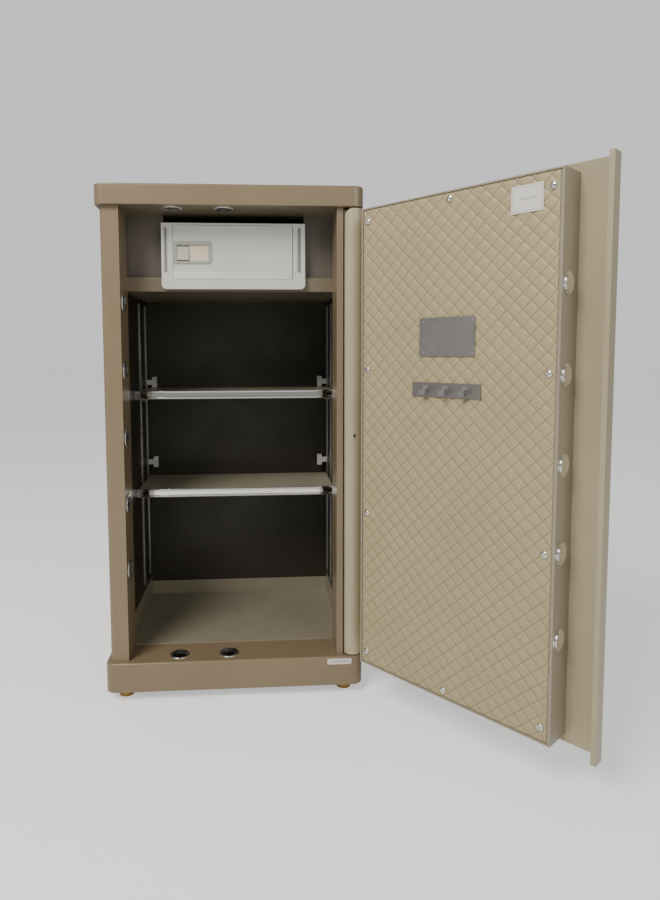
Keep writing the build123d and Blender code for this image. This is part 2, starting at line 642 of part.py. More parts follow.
CAP_PLUG_H = 22.0
with BuildPart() as hinge_end_plugs:
    for low in (DOOR_Z0, DOOR_Z1 - CAP_PLUG_H):
        plug_top = low > DOOR_Z0
        plug_r = PLATE_IN if plug_top else BEAD_R - COVER_T
        with BuildSketch(door_plan.offset(low)):
            with BuildLine():
                plug_out = CenterArc((0, 0), plug_r, COVER_START, COVER_SWEEP)
                plug_in = CenterArc((0, 0), PLATE_IN, COVER_START + COVER_SWEEP, 360 - COVER_SWEEP)
                if not plug_top:
                    Line(plug_out @ 1, plug_in @ 0)
                    Line(plug_in @ 1, plug_out @ 0)
            make_face()
            Circle(HINGE_PIN_R + RUNNING_FIT, mode=Mode.SUBTRACT)
        extrude(amount=CAP_PLUG_H)
save(hinge_end_plugs.part, "hinge_end_plugs")

with BuildPart() as hinge_cover_screw:
    with BuildSketch(front_plane(PIVOT_Y - BEAD_R + COVER_T)):
        with Locations((COVER_SCREW_X, COVER_SCREW_Z)):
            Circle(COVER_SCREW_R)
    extrude(amount=COVER_T + 1)
    with BuildSketch(front_plane(PIVOT_Y - BEAD_R)):
        with Locations((COVER_SCREW_X, COVER_SCREW_Z)):
            Circle(4.0)
    extrude(amount=1.6)
    fillet(edges(Select.LAST).sort_by(Axis.Y)[0], 1.2)
save(hinge_cover_screw.part, "hinge_cover_screw")

screw_points = [(u, z) for u in (72.9, 415.4) for z in (120, 386, 653, 920)]
screw_points += [(243.8, 110), (243.8, 931.5)]
SCREW_SHANK_R = 2.0
SCREW_HEAD_R = 5.2

with BuildPart() as door_pan:
    with BuildSketch(inward(PLATE_IN)):
        span(PAN_U0, PAN_U1, PAN_Z0, PAN_Z1)
    extrude(amount=PLATE_IN - PAN_FACE)
    with BuildSketch(inward(PLATE_IN)):
        span(PAN_U0 + PAN_WALL, PAN_U1 - PAN_WALL, PAN_Z0 + PAN_WALL, PAN_Z1 - PAN_WALL)
    extrude(amount=PLATE_IN - LINER_BACK - BACKING_T, mode=Mode.SUBTRACT)
    with BuildSketch(inward(LINER_BACK)):
        span(LINER_U0 - 0.5, LINER_U1 + 2.7, LINER_Z0 - 0.5, LINER_Z1 + 0.5)
    extrude(amount=LINER_T, mode=Mode.SUBTRACT)
    with BuildSketch(inward(LINER_BACK + BACKING_T)):
        with Locations(*screw_points):
            Circle(SCREW_SHANK_R)
    extrude(amount=BACKING_T, mode=Mode.SUBTRACT)
    with BuildSketch(free_side(PAN_U1)):
        with Locations(*[(SIDE_BOLT_W, z) for z in SIDE_BOLT_Z]):
            Circle(BOLT_R + RUNNING_FIT)
    extrude(amount=-PAN_WALL, mode=Mode.SUBTRACT)
    for low in (PAN_Z0, PAN_Z1 - PAN_WALL):
        with BuildSketch(door_plan.offset(low)):
            with Locations(*[(u, END_BOLT_W) for u in END_BOLT_U]):
                Circle(BOLT_R + RUNNING_FIT)
        extrude(amount=PAN_WALL, mode=Mode.SUBTRACT)
save(door_pan.part, "door_pan")

FILLER_BACK = 0.5
with BuildPart() as door_filler:
    with BuildSketch(inward(PLATE_IN)):
        span(PAN_U0 + PAN_WALL + 1, PAN_U1 - PAN_WALL - 1, PAN_Z0 + PAN_WALL + 1, PAN_Z1 - PAN_WALL - 1)
        with Locations((HANDLE_U, HANDLE_Z)):
            Circle(SPINDLE_R + 4, mode=Mode.SUBTRACT)
        with Locations((KEY_U, KEY_Z)):
            Circle(CYLINDER_R + 3, mode=Mode.SUBTRACT)
    extrude(amount=PLATE_IN - FILLER_BACK)
save(door_filler.part, "door_filler")

with BuildPart() as door_liner:
    with BuildSketch(inward(LINER_BACK)):
        span(LINER_U0, LINER_U1, LINER_Z0, LINER_Z1)
        with Locations(*screw_points):
            Circle(SCREW_SHANK_R + 0.3, mode=Mode.SUBTRACT)
    extrude(amount=LINER_T)
save(door_liner.part, "door_liner")

with BuildPart() as liner_screws:
    with BuildSketch(inward(LINER_BACK + BACKING_T)):
        with Locations(*screw_points):
            Circle(SCREW_SHANK_R)
    extrude(amount=BACKING_T + LINER_T)
    with BuildSketch(inward(PAN_FACE - 0.3)):
        with Locations(*screw_points):
            Circle(SCREW_HEAD_R)
    extrude(amount=2.4, taper=35)
    with BuildSketch(inward(PAN_FACE)):
        with Locations(*screw_points):
            Circle(SCREW_SHANK_R)
    extrude(amount=0.4)
save(liner_screws.part, "liner_screws")

BADGE = (188.4, 294.9, 677.5, 742.0)
RIM = 2.2
FIXED_GAP = 0.3  # hard pieces on the liner stand this far clear of it
with BuildPart() as badge_plate:
    with BuildSketch(inward(PAN_FACE - FIXED_GAP)):
        rounded_span(*BADGE, 3)
    extrude(amount=1.0)
    with BuildSketch(inward(PAN_FACE - FIXED_GAP - 1.0)):
        u0, u1, z0, z1 = BADGE
        span(u0 + 3, u1 - 3, z0 + 3, z1 - 3)
        with Locations((u0 + 3, z0 + 3), (u0 + 3, z1 - 3), (u1 - 3, z0 + 3), (u1 - 3, z1 - 3)):
            Circle(9, mode=Mode.SUBTRACT)
        span(u0 + 3 + RIM, u1 - 3 - RIM, z0 + 3 + RIM, z1 - 3 - RIM, mode=Mode.SUBTRACT)
        with Locations((u0 + 3, z0 + 3), (u0 + 3, z1 - 3), (u1 - 3, z0 + 3), (u1 - 3, z1 - 3)):
            Circle(9 + RIM, mode=Mode.SUBTRACT)
    extrude(amount=0.6)
save(badge_plate.part, "badge_plate")

RIVET_INSET = 6.5
with BuildPart() as badge_rivets:
    with BuildSketch(inward(PAN_FACE - FIXED_GAP - 1.0)):
        u0, u1, z0, z1 = BADGE
        for u in (u0 + RIVET_INSET, u1 - RIVET_INSET):
            for z in (z0 + RIVET_INSET, z1 - RIVET_INSET):
                with Locations((u, z)):
                    Circle(2.6)
    extrude(amount=1.2, taper=35)
save(badge_rivets.part, "badge_rivets")

RAIL_BAND = (175.4, 306.4, 610.0, 634.0)
HOOK_U = [203.4, 241.4, 278.4]
with BuildPart() as hook_rail:
    with BuildSketch(inward(PAN_FACE - FIXED_GAP)):
        rounded_span(*RAIL_BAND, 2)
    extrude(amount=1.5)
save(hook_rail.part, "hook_rail")

HOOK_W = 11.0
HOOK_REACH = 13.0
HOOK_T = 2.0
with BuildPart() as key_hooks:
    for u in HOOK_U:
        hook_face = PAN_FACE - FIXED_GAP - 1.5
        with BuildSketch(free_side(u - HOOK_W / 2)):
            span(hook_face - HOOK_T, hook_face, 614, 630)
            span(hook_face - HOOK_REACH, hook_face, 614, 614 + HOOK_T)
            span(hook_face - HOOK_REACH, hook_face - HOOK_REACH + HOOK_T, 614, 623)
        extrude(amount=HOOK_W)
save(key_hooks.part, "key_hooks")

with BuildPart() as notice_label:
    with BuildSketch(inward(PAN_FACE - FIXED_GAP)):
        rounded_span(351.4, 401.4, 888, 928, 1.5)
    extrude(amount=0.4)
save(notice_label.part, "notice_label")

COLLAR_R = 17.0
COLLAR_T = 2.0
with BuildPart() as bolt_collars:
    with BuildSketch(free_side(PAN_U1)):
        with Locations(*[(SIDE_BOLT_W, z) for z in SIDE_BOLT_Z]):
            Circle(COLLAR_R)
            Circle(BOLT_R + RUNNING_FIT, mode=Mode.SUBTRACT)
    extrude(amount=COLLAR_T)
    for low in (PAN_Z0 - COLLAR_T, PAN_Z1):
        with BuildSketch(door_plan.offset(low)):
            with Locations(*[(u, END_BOLT_W) for u in END_BOLT_U]):
                Circle(COLLAR_R)
                Circle(BOLT_R + RUNNING_FIT, mode=Mode.SUBTRACT)
        extrude(amount=COLLAR_T)
save(bolt_collars.part, "bolt_collars")

# ---------------------------------------------------------------- bolt work

BAR_U0 = 303.0
BAR_U1 = 333.0
SIDE_BAR_W = SIDE_BOLT_W + BAR_T / 2
DISC_R = 30.0
DISC_W = SIDE_BAR_W + 4.5
DISC_T = 3.5
END_BAR_W = DISC_W + 1.0 + BAR_T
swing = radians(CRANK_SWING)
pin_far = CRANK_R * sin(swing)
pin_near = CRANK_R * cos(swing)
slot_half = CRANK_PIN_R + SLOT_CLEARANCE

with BuildPart() as side_bolts:
    for z in SIDE_BOLT_Z:
        with BuildSketch(free_side(BAR_U1)):
            with Locations((SIDE_BOLT_W, z)):
                Circle(BOLT_R)
        extrude(amount=PAN_U1 + BOLT_PROUD - BAR_U1)
        tip_edge = edges(Select.LAST).sort_by(Axis((0, 0, 0), along_door))[-1]
        fillet(tip_edge, 1.8)
save(side_bolts.part, "side_bolts")

with BuildPart() as side_bolt_bar:
    with BuildSketch(inward(SIDE_BAR_W)):
        span(BAR_U0, BAR_U1, SIDE_BOLT_Z[0] - 15, SIDE_BOLT_Z[-1] + 15)
        span(HANDLE_U - pin_far - 10, BAR_U0, HANDLE_Z - CRANK_R - 12, HANDLE_Z - CRANK_R + 15)
        span(
            HANDLE_U - pin_far - slot_half, HANDLE_U - pin_far + slot_half,
            HANDLE_Z - CRANK_R - slot_half, HANDLE_Z - pin_near + slot_half, mode=Mode.SUBTRACT,
        )
    extrude(amount=BAR_T)
save(side_bolt_bar.part, "side_bolt_bar")

STRIP_W = 25.0
STRIP_GAP = 8.0
BEAM_H = 20.0
END_BOLT_LENGTH = 60.0
BEAM_U = (END_BOLT_U[0] - BOLT_R, END_BOLT_U[1] + BOLT_R)

for side, name in ((1, "top"), (-1, "bottom")):
    face_z = PAN_Z1 + BOLT_PROUD if side > 0 else PAN_Z0 - BOLT_PROUD
    beam_z = face_z - side * END_BOLT_LENGTH
    with BuildPart() as end_bolts:
        for u in END_BOLT_U:
            with BuildSketch(door_plan.offset(beam_z)):
                with Locations((u, END_BOLT_W)):
                    Circle(BOLT_R)
            extrude(amount=side * END_BOLT_LENGTH)
            tip_edge = edges(Select.LAST).sort_by(Axis.Z)[-1 if side > 0 else 0]
            fillet(tip_edge, 1.8)
    save(end_bolts.part, f"{name}_bolts")

    pin_z = HANDLE_Z - side * pin_far
    strip_end = pin_z - side * 14
    strip_u = sorted((HANDLE_U + side * STRIP_GAP, HANDLE_U + side * (STRIP_GAP + STRIP_W)))
    slot_u = sorted((
        HANDLE_U + side * (pin_near - slot_half),
        HANDLE_U + side * (CRANK_R + slot_half),
    ))
    beam_span = sorted((beam_z, beam_z - side * BEAM_H))
    strip_span = sorted((beam_z - side * BEAM_H, strip_end))
    with BuildPart() as end_bar:
        with BuildSketch(inward(END_BAR_W)):
            span(*BEAM_U, *beam_span)
            span(*strip_u, *strip_span)
            span(*slot_u, pin_z - slot_half, pin_z + slot_half, mode=Mode.SUBTRACT)
        extrude(amount=BAR_T)
    save(end_bar.part, f"{name}_bolt_bar")

PANEL_T = 2.0
PANEL_FACE = BEAD_R + PANEL_T
HUB_FACE = BEAD_R + 20.0
LEVER_L = 110.0
LEVER_H = 19.0
LEVER_T = 12.0
LEVER_REST = -70.0
with BuildPart() as handle:
    with BuildSketch(inward(HUB_FACE)):
        with Locations((HANDLE_U, HANDLE_Z)):
            Circle(16)
    extrude(amount=HUB_FACE - PANEL_FACE - 0.5)
    with BuildSketch(inward(HUB_FACE)):
        with Locations((HANDLE_U, HANDLE_Z)):
            Circle(SPINDLE_R)
    extrude(amount=HUB_FACE - PANEL_FACE - 0.5, mode=Mode.SUBTRACT)
    reach = (LEVER_L - LEVER_H) / 2
    lever_angle = radians(LEVER_REST)
    lever_mid = (HANDLE_U + reach * cos(lever_angle), HANDLE_Z + reach * sin(lever_angle))
    with BuildSketch(inward(HUB_FACE + LEVER_T)):
        with Locations((HANDLE_U, HANDLE_Z)):
            Circle(16)
        with Locations(lever_mid):
            SlotOverall(LEVER_L, LEVER_H, rotation=LEVER_REST)
    extrude(amount=LEVER_T)
    fillet(faces().sort_by(Axis((0, 0, 0), out_of_door))[-1].edges(), 3)
save(handle.part, "handle")

with BuildPart() as handle_spindle:
    with BuildSketch(inward(HUB_FACE)):
        with Locations((HANDLE_U, HANDLE_Z)):
            Circle(SPINDLE_R)
    extrude(amount=HUB_FACE - DISC_W)
save(handle_spindle.part, "handle_spindle")

with BuildPart() as crank_disc:
    with BuildSketch(inward(DISC_W)):
        with Locations((HANDLE_U, HANDLE_Z)):
            Circle(DISC_R)
    extrude(amount=DISC_T)
    with BuildSketch(inward(DISC_W - DISC_T)):
        with Locations((HANDLE_U - pin_far, HANDLE_Z - pin_near)):
            Circle(CRANK_PIN_R)
    extrude(amount=BAR_T + 1)
    with BuildSketch(inward(DISC_W)):
        with Locations((HANDLE_U + pin_near, HANDLE_Z - pin_far), (HANDLE_U - pin_near, HANDLE_Z + pin_far)):
            Circle(CRANK_PIN_R)
    extrude(amount=-BAR_T - 1)
save(crank_disc.part, "crank_disc")

# ---------------------------------------------------------------- lock on the outer face

PANEL = (188.0, 342.0, 462.0, 712.0)
COVER_PIVOT = (KEY_U, KEY_Z + 22.0)
COVER_STUD_R = 3.0
with BuildPart() as lock_panel:
    with BuildSketch(inward(PANEL_FACE)):
        rounded_span(*PANEL, 12)
        with Locations((HANDLE_U, HANDLE_Z)):
            Circle(SPINDLE_R + RUNNING_FIT, mode=Mode.SUBTRACT)
        with Locations((KEY_U, KEY_Z)):
            Circle(CYLINDER_R + RUNNING_FIT, mode=Mode.SUBTRACT)
        with Locations(COVER_PIVOT):
            Circle(COVER_STUD_R + RUNNING_FIT, mode=Mode.SUBTRACT)
    extrude(amount=PANEL_T)
    fillet(faces().sort_by(Axis((0, 0, 0), out_of_door))[-1].edges().filter_by(GeomType.CIRCLE, reverse=True), 0.8)
save(lock_panel.part, "lock_panel")

with BuildPart() as touch_keypad:
    with BuildSketch(inward(PANEL_FACE + 1.5)):
        rounded_span(PANEL[0] + 22, PANEL[1] - 22, 612, 700, 6)
    extrude(amount=1.5)
save(touch_keypad.part, "touch_keypad")

with BuildPart() as key_cover:
    with BuildSketch(inward(PANEL_FACE + 2.5)):
        with Locations((KEY_U, KEY_Z + 11)):
            SlotOverall(52, 28, rotation=90)
    extrude(amount=2.2)
    with BuildSketch(inward(PANEL_FACE + 2.5)):
        with Locations(COVER_PIVOT):
            Circle(5)
    extrude(amount=-1.2)
    with BuildSketch(inward(PANEL_FACE + 2.5)):
        with Locations(COVER_PIVOT):
            Circle(COVER_STUD_R)
    extrude(amount=2.5 + PANEL_T - 0.2)
save(key_cover.part, "key_cover")

with BuildPart() as key_cylinder:
    with BuildSketch(inward(PANEL_FACE)):
        with Locations((KEY_U, KEY_Z)):
            Circle(CYLINDER_R)
    extrude(amount=PANEL_FACE + 4)
    with BuildSketch(inward(PANEL_FACE)):
        with Locations((KEY_U, KEY_Z)):
            Rectangle(1.8, 9)
    extrude(amount=14, mode=Mode.SUBTRACT)
save(key_cylinder.part, "key_cylinder")

with BuildPart() as lock_case:
    with BuildSketch(inward(FILLER_BACK)):
        rounded_span(196, 262, KEY_Z - 34, KEY_Z + 70, 4)
    extrude(amount=26)
    with BuildSketch(inward(FILLER_BACK)):
        with Locations((KEY_U, KEY_Z)):
            Circle(CYLINDER_R + 1)
    extrude(amount=8, mode=Mode.SUBTRACT)
save(lock_case.part, "lock_case")
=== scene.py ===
import json
import math
import random

import bmesh
import bpy
from mathutils import Matrix, Vector


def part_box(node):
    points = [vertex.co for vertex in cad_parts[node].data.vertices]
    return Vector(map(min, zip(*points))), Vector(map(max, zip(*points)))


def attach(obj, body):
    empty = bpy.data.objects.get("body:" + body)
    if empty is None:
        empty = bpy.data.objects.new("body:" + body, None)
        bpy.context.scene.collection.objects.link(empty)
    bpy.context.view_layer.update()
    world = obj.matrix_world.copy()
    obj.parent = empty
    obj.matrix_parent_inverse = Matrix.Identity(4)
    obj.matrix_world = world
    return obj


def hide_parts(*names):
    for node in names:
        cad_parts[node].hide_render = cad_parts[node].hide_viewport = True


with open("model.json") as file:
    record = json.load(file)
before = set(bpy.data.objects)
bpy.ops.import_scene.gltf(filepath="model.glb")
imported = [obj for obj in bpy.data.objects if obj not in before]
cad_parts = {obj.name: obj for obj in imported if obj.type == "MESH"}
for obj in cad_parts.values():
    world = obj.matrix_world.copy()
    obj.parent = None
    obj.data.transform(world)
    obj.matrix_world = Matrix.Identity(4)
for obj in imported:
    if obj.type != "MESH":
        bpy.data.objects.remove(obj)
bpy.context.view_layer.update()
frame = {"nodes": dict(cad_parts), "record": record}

MM = 0.001

# ------------------------------------------------------------------ places read from the frame


def joint(name):
    """The record's own entry for a joint."""
    for entry in frame["record"]["behaviour"]["joints"]:
        if entry["name"] == name:
            return entry
    raise KeyError(name)


PIVOT = Vector(joint("door_hinge")["pos_m"])
ALONG = Vector(joint("side_bolt_slide")["axis"]).normalized()
INWARD = Vector(joint("handle_turn")["axis"]).normalized()
UP = Vector((0.0, 0.0, 1.0))

# Depths in millimetres from the hinge line, positive out through the door's face.
PAN_FACE = -42.0
LINER_BACK = -39.4


def door_matrix(depth_mm):
    """Axes of the door at that depth: x along it, y up, z towards the room side."""
    origin = PIVOT - INWARD * depth_mm * MM
    origin.z = 0.0
    axes = Matrix((ALONG, UP, INWARD)).transposed().to_4x4()
    return Matrix.Translation(origin) @ axes


# ------------------------------------------------------------------ materials


def new_material(name):
    """An empty Principled material, its node tree and its shader."""
    mat = bpy.data.materials.new(name)
    mat.use_nodes = True
    tree = mat.node_tree
    return mat, tree, tree.nodes["Principled BSDF"]


def object_coords(tree, stretch=(1.0, 1.0, 1.0)):
    """Object coordinates, stretched for grain that runs one way."""
    coords = tree.nodes.new("ShaderNodeTexCoord")
    mapping = tree.nodes.new("ShaderNodeMapping")
    mapping.inputs["Scale"].default_value = stretch
    tree.links.new(coords.outputs["Object"], mapping.inputs["Vector"])
    return mapping.outputs["Vector"]


def noise(tree, vector, scale, detail=4.0, rough=0.55):
    """Noise at a scale counted per metre."""
    node = tree.nodes.new("ShaderNodeTexNoise")
    node.inputs["Scale"].default_value = scale
    node.inputs["Detail"].default_value = detail
    node.inputs["Roughness"].default_value = rough
    tree.links.new(vector, node.inputs["Vector"])
    return node.outputs["Fac"]


def ramp(tree, factor, low, high, low_value=0.0, high_value=1.0):
    """Remaps a factor between two stops."""
    node = tree.nodes.new("ShaderNodeMapRange")
    node.inputs["From Min"].default_value = low
    node.inputs["From Max"].default_value = high
    node.inputs["To Min"].default_value = low_value
    node.inputs["To Max"].default_value = high_value
    tree.links.new(factor, node.inputs["Value"])
    return node.outputs["Result"]


def mix_colour(tree, factor, first, second):
    """Mixes two colours, each a tuple or a socket."""
    node = tree.nodes.new("ShaderNodeMix")
    node.data_type = "RGBA"
    tree.links.new(factor, node.inputs["Factor"])
    for socket, value in ((node.inputs[6], first), (node.inputs[7], second)):
        if isinstance(value, bpy.types.NodeSocket):
            tree.links.new(value, socket)
        else:
            socket.default_value = (*value, 1.0)
    return node.outputs[2]


def bump(tree, shader, height, strength, distance_mm, before=None):
    """Adds one bump layer, on top of an earlier one if given."""
    node = tree.nodes.new("ShaderNodeBump")
    node.inputs["Strength"].default_value = strength
    node.inputs["Distance"].default_value = distance_mm * MM
    tree.links.new(height, node.inputs["Height"])
    if before is not None:
        tree.links.new(before, node.inputs["Normal"])
    tree.links.new(node.outputs["Normal"], shader.inputs["Normal"])
    return node.outputs["Normal"]


def shade(colour, factor):
    """A lighter or darker version of a colour."""
    return tuple(min(1.0, c * factor) for c in colour)


def scuffs(tree, vector, per_metre, amount):
    """A sparse mask of small rubbed marks."""
    broad = ramp(tree, noise(tree, vector, per_metre * 0.15, 2.0), 0.5, 0.75)
    fine = ramp(tree, noise(tree, vector, per_metre, 8.0, 0.7), 0.62, 0.7, 0.0, amount)
    node = tree.nodes.new("ShaderNodeMath")
    node.operation = "MULTIPLY"
    tree.links.new(broad, node.inputs[0])
    tree.links.new(fine, node.inputs[1])
    return node.outputs[0]


def paint(name, colour, rough=0.32, peel=0.25, peel_scale=420.0, metal=0.0, coat=0.25, worn=0.5):
    """Sprayed enamel: orange-peel skin, faint mottling and a few rubbed marks."""
    mat, tree, shader = new_material(name)
    vector = object_coords(tree)
    mottle = ramp(tree, noise(tree, vector, 5.0, 3.0), 0.35, 0.65)
    base = mix_colour(tree, mottle, shade(colour, 0.955), shade(colour, 1.045))
    fleck = ramp(tree, noise(tree, vector, 1500.0, 2.0), 0.45, 0.75, 0.0, 0.22)
    base = mix_colour(tree, fleck, base, shade(colour, 1.3))
    marks = scuffs(tree, vector, 60.0, worn)
    base = mix_colour(tree, marks, base, shade(colour, 1.22))
    tree.links.new(base, shader.inputs["Base Color"])
    smear = noise(tree, vector, 14.0, 5.0)
    tree.links.new(ramp(tree, smear, 0.3, 0.7, rough * 0.85, rough * 1.2), shader.inputs["Roughness"])
    shader.inputs["Metallic"].default_value = metal
    shader.inputs["Coat Weight"].default_value = coat
    shader.inputs["Coat Roughness"].default_value = 0.16
    skin = bump(tree, shader, noise(tree, vector, peel_scale, 2.0), peel, 0.12)
    bump(tree, shader, noise(tree, vector, 1800.0, 2.0), peel * 0.5, 0.03, skin)
    return mat


def bright_metal(name, colour, rough, grain=(1.0, 1.0, 1.0), grain_scale=300.0, scratch=0.08, smudged=1.0):
    """Plated or brushed metal, with grain along one axis when it is stretched."""
    mat, tree, shader = new_material(name)
    vector = object_coords(tree, grain)
    streak = noise(tree, vector, grain_scale, 6.0, 0.65)
    tone = mix_colour(tree, ramp(tree, streak, 0.3, 0.7), shade(colour, 0.92), shade(colour, 1.05))
    tree.links.new(tone, shader.inputs["Base Color"])
    shader.inputs["Metallic"].default_value = 1.0
    smudge = noise(tree, object_coords(tree), 40.0, 5.0)
    low = rough * (1.0 - 0.3 * smudged)
    high = rough * (1.0 + 0.4 * smudged)
    tree.links.new(ramp(tree, smudge, 0.3, 0.75, low, high), shader.inputs["Roughness"])
    bump(tree, shader, streak, scratch, 0.05)
    return mat


def plastic(name, colour, rough=0.4, grain=0.12):
    """Moulded plastic with a fine spark-eroded texture."""
    mat, tree, shader = new_material(name)
    vector = object_coords(tree)
    tone = ramp(tree, noise(tree, vector, 30.0, 3.0), 0.3, 0.7)
    base = mix_colour(tree, tone, shade(colour, 0.94), shade(colour, 1.06))
    tree.links.new(base, shader.inputs["Base Color"])
    tree.links.new(ramp(tree, noise(tree, vector, 60.0), 0.3, 0.7, rough * 0.85, rough * 1.15),
                   shader.inputs["Roughness"])
    bump(tree, shader, noise(tree, vector, 2400.0, 2.0), grain, 0.04)
    return mat


def castable(name, colour):
    """Cast cement fill: pores and sand."""
    mat, tree, shader = new_material(name)
    vector = object_coords(tree)
    sand = noise(tree, vector, 180.0, 8.0, 0.7)
    base = mix_colour(tree, sand, shade(colour, 0.8), shade(colour, 1.15))
    tree.links.new(base, shader.inputs["Base Color"])
    shader.inputs["Roughness"].default_value = 0.9
    bump(tree, shader, sand, 0.6, 0.6)
    return mat


def label_stock(name, colour):
    """Coated paper label with a faint fibre."""
    mat, tree, shader = new_material(name)
    vector = object_coords(tree)
    fibre = noise(tree, vector, 700.0, 6.0, 0.7)
    base = mix_colour(tree, fibre, shade(colour, 0.93), shade(colour, 1.03))
    tree.links.new(base, shader.inputs["Base Color"])
    shader.inputs["Roughness"].default_value = 0.45
    bump(tree, shader, fibre, 0.1, 0.03)
    return mat


def leatherette(name, colour, pitch_u, pitch_z, seam_origin):
    """Embossed leathercloth: pebbled grain, painted shade in the pressed seams and a painted highlight on
    the shoulders beside them.
    """
    mat, tree, shader = new_material(name)
    vector = object_coords(tree)
    parts = tree.nodes.new("ShaderNodeSeparateXYZ")
    tree.links.new(vector, parts.inputs["Vector"])

    def calc(operation, first, second=None):
        node = tree.nodes.new("ShaderNodeMath")
        node.operation = operation
        for socket, value in zip(node.inputs, (first, second)):
            if isinstance(value, bpy.types.NodeSocket):
                tree.links.new(value, socket)
            elif value is not None:
                socket.default_value = value
        return node.outputs[0]

    u = calc("DIVIDE", calc("SUBTRACT", parts.outputs["X"], seam_origin[0]), pitch_u)
    z = calc("DIVIDE", calc("SUBTRACT", parts.outputs["Y"], seam_origin[1]), pitch_z)
    near = []
    for diagonal in (calc("ADD", u, z), calc("SUBTRACT", u, z)):
        near.append(calc("PINGPONG", diagonal, 0.5))
    distance = calc("MINIMUM", near[0], near[1])
    seam_shade = ramp(tree, distance, 0.012, 0.06, 1.0, 0.0)
    rise = ramp(tree, distance, 0.05, 0.09)
    fall = ramp(tree, distance, 0.09, 0.17, 1.0, 0.0)
    shoulder_highlight = calc("MULTIPLY", rise, fall)
    blotch = ramp(tree, noise(tree, vector, 9.0, 4.0), 0.3, 0.7)
    base = mix_colour(tree, blotch, shade(colour, 0.95), shade(colour, 1.05))
    # Painted shade darkening the seam grooves.
    base = mix_colour(tree, ramp(tree, seam_shade, 0.0, 1.0, 0.0, 0.8), base, shade(colour, 0.5))
    # Painted highlight on the shoulders beside each seam.
    base = mix_colour(tree, ramp(tree, shoulder_highlight, 0.0, 1.0, 0.0, 0.7), base, shade(colour, 1.14))
    pebble = tree.nodes.new("ShaderNodeTexVoronoi")
    pebble.inputs["Scale"].default_value = 900.0
    tree.links.new(vector, pebble.inputs["Vector"])
    pores = ramp(tree, pebble.outputs["Distance"], 0.2, 0.75)
    base = mix_colour(tree, ramp(tree, pores, 0.0, 1.0, 0.0, 0.16), base, shade(colour, 0.75))
    tree.links.new(base, shader.inputs["Base Color"])
    gloss = ramp(tree, noise(tree, vector, 120.0, 4.0), 0.3, 0.7, 0.42, 0.56)
    tree.links.new(gloss, shader.inputs["Roughness"])
    shader.inputs["Sheen Weight"].default_value = 0.08
    skin = bump(tree, shader, pores, 0.35, 0.08)
    bump(tree, shader, noise(tree, vector, 260.0, 5.0), 0.3, 0.15, skin)
    return mat


TAUPE = (0.215, 0.163, 0.098)
TAUPE_PALE = (0.375, 0.325, 0.210)
# Darker copy of TAUPE: painted shade for the cabinet's interior.
TAUPE_SHADED = (0.160, 0.128, 0.085)
CREAM = (0.405, 0.335, 0.192)
PITCH_U = 26.2
PITCH_Z = 25.0
SEAM_ORIGIN = (358.9, 660.0)

cabinet_paint = paint("cabinet_enamel", TAUPE)
door_paint = paint("door_inner_enamel", TAUPE_PALE, rough=0.3)
pan_paint = paint("door_pan_enamel", (0.300, 0.262, 0.198), rough=0.32)
# Hinge bead and end plugs: the cabinet paint lightened as a painted highlight, where it faces the light.
bead_highlight_paint = paint("hinge_bead_painted_highlight", (0.440, 0.390, 0.255), rough=0.3)
# Partition and ceiling: the cabinet paint darkened as painted shade, the inside being the same paint in
# less light.
interior_shade_paint = paint("interior_painted_shade", TAUPE_SHADED, rough=0.38, coat=0.15)
# Near-black painted shade on the back and side walls and the locker housing, where the light does not
# reach.
cavity_shade_paint = paint("cavity_painted_shade", (0.021, 0.017, 0.010), rough=0.5, coat=0.05)
# Side bulkheads: painted shadow cast by the top cap and ceiling.
bulkhead_shadow_paint = paint("bulkhead_painted_shadow", (0.125, 0.106, 0.086), rough=0.42, coat=0.1)
shelf_paint = paint("shelf_enamel", (0.315, 0.285, 0.210), rough=0.36, coat=0.15)
pan_floor_paint = paint("floor_enamel", (0.255, 0.228, 0.165), rough=0.36, coat=0.15)
SILVER_LOOK = {"metal": 0.3, "peel": 0.12, "coat": 0.2, "worn": 0.2}
silver_paint = paint("locker_silver", (0.66, 0.66, 0.62), rough=0.38, **SILVER_LOOK)
latch_paint = paint("latch_silver", (0.40, 0.43, 0.37), rough=0.36, **SILVER_LOOK)
chrome = bright_metal("chrome_plate", (0.78, 0.78, 0.77), 0.09)
trim_chrome = bright_metal("trim_chrome", (0.82, 0.82, 0.80), 0.07, (0.02, 1.0, 1.0), 260.0)
brushed = bright_metal("brushed_steel", (0.34, 0.32, 0.30), 0.40, (0.03, 0.03, 1.0), 700.0, 0.04, 0.15)
badge_steel = bright_metal("badge_steel", (0.42, 0.395, 0.370), 0.40, (0.03, 0.03, 1.0), 700.0, 0.04, 0.15)
ring_steel = bright_metal("ring_steel", (0.80, 0.80, 0.78), 0.30)
plain_steel = bright_metal("machined_steel", (0.42, 0.42, 0.41), 0.35, (1.0, 1.0, 0.1), 400.0, 0.15)
zinc = bright_metal("zinc_plate", (0.50, 0.50, 0.48), 0.36, (1.0, 1.0, 0.2), 200.0)
brass = bright_metal("foot_brass", (0.72, 0.46, 0.14), 0.2, (1.0, 1.0, 0.15), 200.0)
bronze = bright_metal("washer_bronze", (0.42, 0.25, 0.11), 0.3)
white_plastic = plastic("clip_plastic", (0.55, 0.55, 0.53), 0.42)
black_plastic = plastic("gloss_black", (0.014, 0.014, 0.015), 0.16, 0.03)
grey_strip = plastic("locker_strip", (0.24, 0.24, 0.235), 0.35)
button_plastic = plastic("button_grey", (0.56, 0.54, 0.48), 0.38)
slider_plastic = plastic("slider_beige", (0.74, 0.64, 0.48), 0.38)
keypad_glass = plastic("keypad_glass", (0.008, 0.008, 0.01), 0.08, 0.0)
fill = castable("cement_fill", (0.42, 0.40, 0.36))
